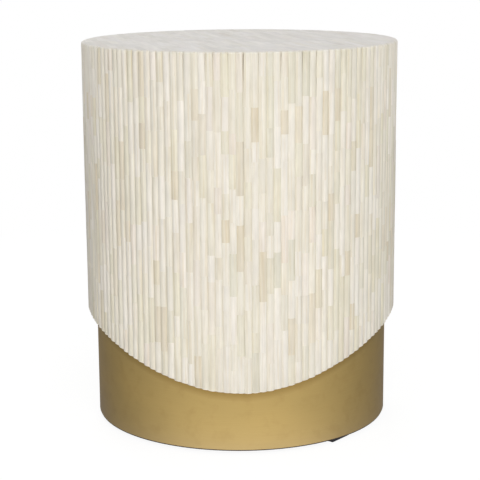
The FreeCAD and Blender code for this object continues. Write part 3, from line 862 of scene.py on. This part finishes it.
class SIDETABLE_OT_wrap_plinth(bpy.types.Operator):
    """Wrap the plinth in rolled brass sheet with a butt seam at the back"""
    bl_idname = "side_table.wrap_plinth"
    bl_label = "Wrap Brass Plinth"

    def execute(self, context):
        plinth, reeds = context.scene.side_table_plinth, context.scene.side_table_reeds
        inside = PLINTH_RADIUS - plinth.sheet
        bottom = SKIRT_BOTTOM + plinth.foot_gap
        section = ((inside, bottom), (PLINTH_RADIUS, bottom),
                   (PLINTH_RADIUS, SKIRT_TOP), (inside, SKIRT_TOP))
        half_seam = plinth.seam / 2 / PLINTH_RADIUS
        bm = bmesh.new()
        corners = [bm.verts.new((0.0, radius, height)) for radius, height in section]
        outline = [bm.edges.new(pair) for pair in zip(corners, corners[1:] + corners[:1])]
        swivel(bm, corners, half_seam)
        bmesh.ops.spin(bm, geom=corners + outline, cent=ORIGIN, axis=UPWARDS,
                       angle=FULL_TURN - 2 * half_seam, steps=PLINTH_STEPS_PER_REED * reeds.count)
        bmesh.ops.holes_fill(bm, edges=open_edges(bm), sides=0)
        bmesh.ops.recalc_face_normals(bm, faces=bm.faces[:])
        outer = [edge for edge in bm.edges
                 if all(vert.co.xy.length > PLINTH_RADIUS - TOUCH for vert in edge.verts)
                 and edge.calc_face_angle(0.0) > SHARP_ANGLE]
        round_edges(bm, outer, plinth.edge_round, ROUND_STEPS)
        soften(bm)
        brass = brass_material("satin_brass", tuple(plinth.brass), reeds)
        finish_piece(bm, "brass_plinth", brass, "brass_sheet", "brass_skirt")
        return {"FINISHED"}


class SIDETABLE_OT_set_pads(bpy.types.Operator):
    """Set the square rubber pads under the base"""
    bl_idname = "side_table.set_pads"
    bl_label = "Set Rubber Pads"

    def execute(self, context):
        plinth = context.scene.side_table_plinth
        rubber = rubber_material("pad_rubber", tuple(plinth.rubber))
        for index, node in enumerate(PAD_NODES):
            low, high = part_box(node)
            bm = bmesh.new()
            verts = bmesh.ops.create_cube(bm, size=1.0)["verts"]
            bmesh.ops.scale(bm, verts=verts, vec=(plinth.pad_side, plinth.pad_side, high.z - low.z))
            round_edges(bm, bm.edges[:], plinth.pad_round, ROUND_STEPS)
            swivel(bm, bm.verts[:], plinth.pad_turn + index * FULL_TURN / len(PAD_NODES))
            bmesh.ops.translate(bm, verts=bm.verts[:], vec=(low + high) / 2)
            soften(bm)
            finish_piece(bm, f"rubber_pad_{index + 1}", rubber, "pad_rubber", node)
        return {"FINISHED"}


# Carcass

class SIDETABLE_OT_finish_carcass(bpy.types.Operator):
    """Give the boards, rings, battens, tubes and fasteners of the frame their materials"""
    bl_idname = "side_table.finish_carcass"
    bl_label = "Finish Carcass"

    def execute(self, context):
        scene = context.scene
        paste, brass = tuple(scene.side_table_bone.paste_and_groove_shade), tuple(scene.side_table_plinth.brass)
        by_node = {
            "outer_shell": shell_material("bedding_shell", paste),
            "core_drum": wood_material("stained_plywood", SHADE_DARK_BIRCH, UPRIGHT_GRAIN, distance_from_axis),
            "skirt_pins": brass_material("pin_brass", brass, scene.side_table_reeds),
        }
        by_slot = {
            "plywood": wood_material("flat_plywood", BIRCH, LEVEL_GRAIN, height_on_object),
            "fibreboard": wood_material("fibreboard", FIBREBOARD, FELTED_GRAIN),
            "softwood": wood_material("softwood", SOFTWOOD, BATTEN_GRAIN),
            "steel": steel_material("zinc_steel"),
        }
        for part in frame["record"]["subparts"]:
            node = frame["nodes"][part["node"]]
            material = by_node.get(part["node"]) or by_slot.get(part["material_slot"])
            if material:
                node.data.materials.clear()
                node.data.materials.append(material)
        return {"FINISHED"}


# Stage

# Softboxes: where each one is, where it faces, its width and its height.
DRUM_MIDDLE = (0.0, 0.0, 0.27)
SOFTBOXES = {
    "key": ((0.3, -2.7, 1.45), DRUM_MIDDLE, 1.7, 1.7),
    "left": ((-1.6, -2.2, 1.1), DRUM_MIDDLE, 1.2, 1.6),
    "right": ((2.4, -0.6, 0.9), DRUM_MIDDLE, 1.2, 1.6),
    "back": ((-0.6, 2.6, 1.4), DRUM_MIDDLE, 1.6, 1.4),
    "overhead": ((0.0, -0.4, 2.6), DRUM_MIDDLE, 1.6, 1.6),
    "bounce": ((0.0, -0.5, 0.008), (0.0, -0.3, 0.3), 1.2, 0.3),
}

# Floor: strength of its white close to the table, and the distances over which it fades to plain white.
FLOOR_WHITE = 1.09
FLOOR_FADE = (0.5, 1.3)
FLOOR_ROUGHNESS = 0.9

# Screen that the brass mirrors: its section, and its glow from the front (0) to the back (1).
RING_PROFILE = ((0.15, 0.0006), (0.46, 0.0006), (0.46, 0.36))
RING_SHIFT = math.radians(2.0)
RING_GLOW = ((0.0, 0.88), (0.2, 0.80), (0.36, 0.60), (0.5, 0.41), (0.65, 0.295), (0.8, 0.21), (1.0, 0.17))

# Screen: its glow behind the table, its gain close to the plinth, and where its tone is cooler.
RING_BACK = (math.radians(145.0), math.radians(180.0))
RING_BACK_GLOW = (0.0, 0.6)
RING_NEAR = (0.45, 1.0)
RING_NEAR_GAIN = (1.17, 1.53)
RING_COOL = (0.93, 0.98, 1.35)
RING_COOL_ASIDE = (0.66, 0.88)
RING_COOL_NEAR = (0.8, 1.0)
RING_COOL_NEAR_SHARE = (0.0, 0.7)

# Camera: width of its sensor in millimetres, and the nearest and farthest that it sees.
SENSOR_WIDTH = 36.0
CAMERA_CLIP = (0.05, 200.0)


def seen(tree):
    """One for rays that show a surface: from the camera, from gloss and through glass."""
    path = add_node(tree, "ShaderNodeLightPath").outputs
    gloss = calc(tree, "MAXIMUM", path["Is Glossy Ray"], path["Is Transmission Ray"])
    return calc(tree, "MAXIMUM", path["Is Camera Ray"], gloss)


def floor_material(stage):
    """Pale floor, lifted to plain white where it is seen, with the table's shadow kept."""
    material, tree, shader = new_material("pale_floor")
    plug(tree, shader.inputs["Base Color"], tuple(stage.floor_colour))
    shader.inputs["Roughness"].default_value = FLOOR_ROUGHNESS
    shader.inputs["Specular IOR Level"].default_value = 0.0
    away = distance_from_axis(tree)
    strength = spread(tree, away, FLOOR_FADE, (FLOOR_WHITE, 1.0))
    white = add_node(tree, "ShaderNodeEmission", {"Color": WHITE, "Strength": strength}).outputs[0]
    lift = spread(tree, away, FLOOR_FADE, (stage.floor_lift, 1.0))
    share = calc(tree, "MULTIPLY", seen(tree), lift)
    mixed = add_node(tree, "ShaderNodeMixShader", {0: share, 1: shader.outputs[0], 2: white}).outputs[0]
    tree.links.new(mixed, tree.nodes["Material Output"].inputs["Surface"])
    return material


def ring_material():
    """Glow that metal mirrors: white in front of the table, falling off to its sides."""
    material, tree, _ = new_material("reflection_ring")
    x, y, _ = place_parts(tree)
    bearing = bearing_on_object(tree, x, y)
    off_front = calc(tree, "ABSOLUTE", calc(tree, "SUBTRACT", bearing, RING_SHIFT))
    near = calc(tree, "DIVIDE", PLINTH_RADIUS, distance_from_axis(tree))
    mirrored = calc(tree, "MULTIPLY", off_front, calc(tree, "ADD", calc(tree, "MULTIPLY", near, near), 1.0))
    aside = calc(tree, "DIVIDE", mirrored, math.pi)
    ramp = add_node(tree, "ShaderNodeValToRGB", {0: aside})
    stops = ramp.color_ramp.elements
    while len(stops) < len(RING_GLOW):
        stops.new(0.5)
    for stop, (place, glow) in zip(stops, RING_GLOW):
        stop.position = place
        stop.color = (glow, glow, glow, 1.0)
    behind = spread(tree, calc(tree, "ABSOLUTE", bearing), RING_BACK, RING_BACK_GLOW)
    level = calc(tree, "MAXIMUM", ramp.outputs[0], behind)
    level = calc(tree, "MULTIPLY", level, spread(tree, near, RING_NEAR, RING_NEAR_GAIN))
    cool_aside = spread(tree, aside, RING_COOL_ASIDE, UNIT)
    cool_near = spread(tree, near, RING_COOL_NEAR, RING_COOL_NEAR_SHARE)
    colour = blend(tree, "MIX", calc(tree, "MAXIMUM", cool_aside, cool_near), WHITE, RING_COOL)
    lit = add_node(tree, "ShaderNodeEmission", {"Color": colour, "Strength": level}).outputs[0]
    tree.links.new(lit, tree.nodes["Material Output"].inputs["Surface"])
    return material


def add_floor(stage):
    """The floor under the table."""
    bm = bmesh.new()
    bmesh.ops.create_grid(bm, x_segments=1, y_segments=1, size=stage.floor_size / 2)
    floor = make_object(bm, "floor", floor_material(stage))


def add_ring():
    """A low screen round the table that only mirrored rays see."""
    bm = bmesh.new()
    corners = [bm.verts.new((0.0, -radius, height)) for radius, height in RING_PROFILE]
    line = [bm.edges.new(pair) for pair in zip(corners, corners[1:])]
    bmesh.ops.spin(bm, geom=corners + line, cent=ORIGIN, axis=UPWARDS, angle=FULL_TURN, steps=RING_STEPS,
                   use_merge=True)
    ring = make_object(bm, "reflection_ring", ring_material())
    ring.visible_camera = False
    ring.visible_diffuse = False
    ring.visible_transmission = False
    ring.visible_shadow = False
    ring.visible_volume_scatter = False


def light_room(scene, stage):
    """Light from all round, plain white where it is seen."""
    world = bpy.data.worlds.new("studio")
    world.use_nodes = True
    scene.world = world
    tree = world.node_tree
    background = tree.nodes["Background"].inputs
    plug(tree, background["Color"], WHITE)
    plug(tree, background["Strength"], spread(tree, seen(tree), UNIT, (stage.sky, 1.0)))


def add_softbox(scene, name, place, aim, width, height, power):
    """A rectangular soft light that faces a point and isn't seen itself."""
    lamp = bpy.data.lights.new(name, "AREA")
    lamp.shape = "RECTANGLE"
    lamp.size = width
    lamp.size_y = height
    lamp.energy = power
    box = bpy.data.objects.new(name, lamp)
    box.location = place
    box.rotation_euler = (Vector(aim) - Vector(place)).to_track_quat("-Z", "Y").to_euler()
    box.visible_camera = False
    box.visible_glossy = False
    scene.collection.objects.link(box)


def add_camera(scene, stage):
    """The camera in front of the table, looking down a little."""
    lens = bpy.data.cameras.new("camera")
    lens.lens = stage.lens
    lens.sensor_width = SENSOR_WIDTH
    lens.clip_start, lens.clip_end = CAMERA_CLIP
    camera = bpy.data.objects.new("camera", lens)
    dip = Matrix.Rotation(QUARTER_TURN - stage.camera_dip, 4, "X")
    turn = dip @ Matrix.Rotation(stage.camera_roll, 4, "Z")
    camera.matrix_world = Matrix.Translation(stage.camera_place) @ turn
    scene.collection.objects.link(camera)
    scene.camera = camera


class SIDETABLE_OT_set_stage(bpy.types.Operator):
    """Set the pale floor, the soft light and the camera"""
    bl_idname = "side_table.set_stage"
    bl_label = "Set Stage"

    def execute(self, context):
        scene = context.scene
        stage = scene.side_table_stage
        add_floor(stage)
        light_room(scene, stage)
        for name, setting in SOFTBOXES.items():
            add_softbox(scene, name, *setting, getattr(stage, name))
        add_ring()
        add_camera(scene, stage)
        scene.view_settings.view_transform = "Standard"
        return {"FINISHED"}


class SIDETABLE_PT_panel(bpy.types.Panel):
    """Lists the table's pieces and their settings"""
    bl_label = "Side Table"
    bl_space_type = "VIEW_3D"
    bl_region_type = "UI"
    bl_category = "Side Table"

    def draw(self, context):
        for group, operators in PANEL_ROWS:
            box = self.layout.box()
            settings = getattr(context.scene, group)
            for name in settings.__annotations__:
                box.prop(settings, name)
            for operator in operators:
                box.operator(operator.bl_idname)


SETTINGS = {
    "side_table_bone": BoneColours,
    "side_table_reeds": ReedSettings,
    "side_table_top": TopSettings,
    "side_table_plinth": PlinthSettings,
    "side_table_stage": StageSettings,
}
OPERATORS = (
    SIDETABLE_OT_lay_reeds,
    SIDETABLE_OT_lay_top,
    SIDETABLE_OT_wrap_plinth,
    SIDETABLE_OT_set_pads,
    SIDETABLE_OT_finish_carcass,
    SIDETABLE_OT_set_stage,
)
PANEL_ROWS = (
    ("side_table_bone", (SIDETABLE_OT_finish_carcass,)),
    ("side_table_reeds", (SIDETABLE_OT_lay_reeds,)),
    ("side_table_top", (SIDETABLE_OT_lay_top,)),
    ("side_table_plinth", (SIDETABLE_OT_wrap_plinth, SIDETABLE_OT_set_pads)),
    ("side_table_stage", (SIDETABLE_OT_set_stage,)),
)


def register():
    """Register the settings, the operators and the panel."""
    for group in SETTINGS.values():
        bpy.utils.register_class(group)
    for name, group in SETTINGS.items():
        setattr(bpy.types.Scene, name, PointerProperty(type=group))
    for operator in OPERATORS:
        bpy.utils.register_class(operator)
    bpy.utils.register_class(SIDETABLE_PT_panel)


def unregister():
    """Take back what register set up."""
    bpy.utils.unregister_class(SIDETABLE_PT_panel)
    for operator in reversed(OPERATORS):
        bpy.utils.unregister_class(operator)
    for name, group in SETTINGS.items():
        delattr(bpy.types.Scene, name)
        bpy.utils.unregister_class(group)


def main():
    """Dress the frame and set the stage."""
    register()
    bpy.ops.side_table.lay_reeds()
    bpy.ops.side_table.lay_top()
    bpy.ops.side_table.wrap_plinth()
    bpy.ops.side_table.set_pads()
    bpy.ops.side_table.finish_carcass()
    bpy.ops.side_table.set_stage()


if __name__ == "__main__":
    main()
